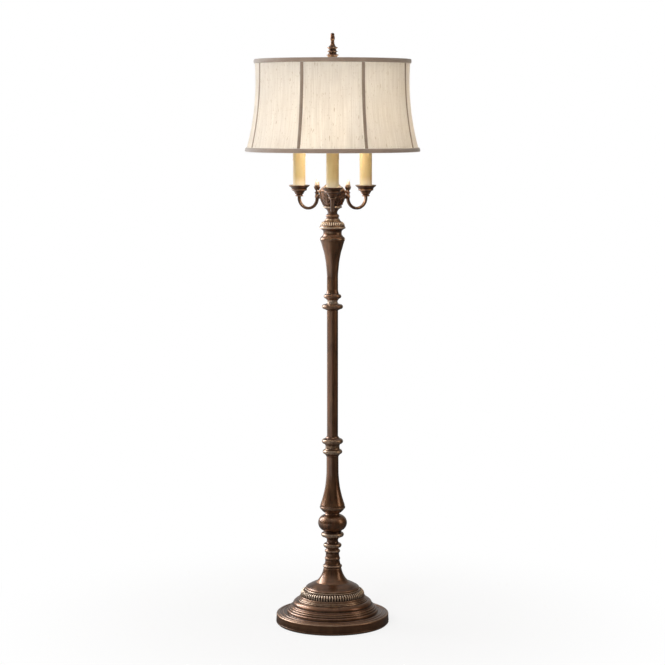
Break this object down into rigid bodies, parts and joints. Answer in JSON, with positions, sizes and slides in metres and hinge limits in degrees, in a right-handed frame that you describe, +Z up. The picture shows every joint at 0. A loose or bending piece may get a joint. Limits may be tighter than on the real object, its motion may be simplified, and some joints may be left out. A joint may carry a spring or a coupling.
{
  "type": "floor lamp",
  "caption": "Candlestick floor lamp: turned antique-bronze column on a stepped round foot, curved arms with candle sleeves, and a flared panelled fabric shade.",
  "frame": {"origin": "on the floor, on the axis of the column", "axes": "+Z up the column; -Y towards the front arm; +X to the right seen from the front"},
  "size_m": [0.4867, 0.4868, 1.6686],
  "materials": {
    "felt": "short black-brown felt",
    "cast_iron": "raw casting with black primer",
    "bronze_dark": "hand-rubbed dark bronze with red-brown mottling and gold on the high edges",
    "bronze_gold": "antique gold rubbed over dark bronze",
    "steel": "zinc plated",
    "brass": "plain brass",
    "bushing": "moulded black nylon",
    "candle_ivory": "ivory candle sleeve with a faint wax texture",
    "phenolic": "moulded phenolic",
    "frosted_glass": "frosted inside",
    "lead_insulation": "soft fixture wire insulation",
    "wire_nut": "moulded splice cap",
    "wire_frame": "white lacquered wire",
    "shade_silk": "cream slubbed silk",
    "shade_lining": "off-white satin lining",
    "shade_trim": "taupe folded bias tape"
  },
  "bodies": {
    "stand": {"arm_1": "bronze_dark", "arm_2": "bronze_dark", "arm_3": "bronze_dark", "arm_bud_1": "bronze_gold", "arm_bud_2": "bronze_gold", "arm_bud_3": "bronze_gold", "arm_leads": "lead_insulation", "arm_nipples": "brass", "arm_nuts": "brass", "ball_knop": "bronze_dark", "base_bell": "bronze_dark", "base_washer": "steel", "base_weight": "cast_iron", "centre_pipe": "steel", "cord_bushing": "bushing", "dome_flange": "bronze_gold", "drip_cup_1": "bronze_dark", "drip_cup_2": "bronze_dark", "drip_cup_3": "bronze_dark", "felt_pad": "felt", "foot_plate": "bronze_dark", "gadroon_ring": "bronze_gold", "lower_baluster": "bronze_dark", "lower_collar": "bronze_gold", "lower_spool": "bronze_dark", "pipe_nuts": "steel", "ringed_neck": "bronze_dark", "screw_shells": "brass", "shade_seat": "brass", "shaft_tube": "bronze_dark", "socket_1": "phenolic", "socket_2": "phenolic", "socket_3": "phenolic", "socket_legs": "steel", "stem_tube": "bronze_dark", "upper_baluster": "bronze_dark", "upper_cap": "bronze_dark", "upper_collar": "bronze_gold", "urn_body": "bronze_dark", "urn_foot": "bronze_dark", "urn_lid": "bronze_dark", "wire_nuts": "wire_nut"},
    "shade": {"spider": "wire_frame", "shade_ribs": "wire_frame", "bottom_ring": "wire_frame", "shade_fabric": "shade_silk", "shade_liner": "shade_lining", "top_trim": "shade_trim", "bottom_trim": "shade_trim", "rib_tapes": "shade_trim"},
    "finial": {"finial": "bronze_dark"},
    "candle_sleeve_1": {"candle_1": "candle_ivory"},
    "lamp_bulb_1": {"bulb_1": "frosted_glass", "bulb_cap_1": "brass"},
    "candle_sleeve_2": {"candle_2": "candle_ivory"},
    "lamp_bulb_2": {"bulb_2": "frosted_glass", "bulb_cap_2": "brass"},
    "candle_sleeve_3": {"candle_3": "candle_ivory"},
    "lamp_bulb_3": {"bulb_3": "frosted_glass", "bulb_cap_3": "brass"}
  },
  "joints": [
    {"name": "shade_turn", "type": "hinge", "parent": "stand", "child": "shade", "pos_m": [0, 0, 1.594], "axis": [0, 0, 1], "continuous": true},
    {"name": "finial_turn", "type": "hinge", "parent": "stand", "child": "finial", "pos_m": [0, 0, 1.596], "axis": [0, 0, 1], "continuous": true},
    {"name": "bulb_1_turn", "type": "hinge", "parent": "stand", "child": "lamp_bulb_1", "pos_m": [0, -0.1085, 1.3085], "axis": [0, 0, 1], "continuous": true},
    {"name": "bulb_2_turn", "type": "hinge", "parent": "stand", "child": "lamp_bulb_2", "pos_m": [0.09396, 0.05425, 1.3085], "axis": [0, 0, 1], "continuous": true},
    {"name": "bulb_3_turn", "type": "hinge", "parent": "stand", "child": "lamp_bulb_3", "pos_m": [-0.09396, 0.05425, 1.3085], "axis": [0, 0, 1], "continuous": true},
    {"name": "candle_1_lift", "type": "slide", "parent": "stand", "child": "candle_sleeve_1", "axis": [0, 0, 1], "range_m": [0, 0.01]},
    {"name": "candle_2_lift", "type": "slide", "parent": "stand", "child": "candle_sleeve_2", "axis": [0, 0, 1], "range_m": [0, 0.01]},
    {"name": "candle_3_lift", "type": "slide", "parent": "stand", "child": "candle_sleeve_3", "axis": [0, 0, 1], "range_m": [0, 0.01]}
  ]
}
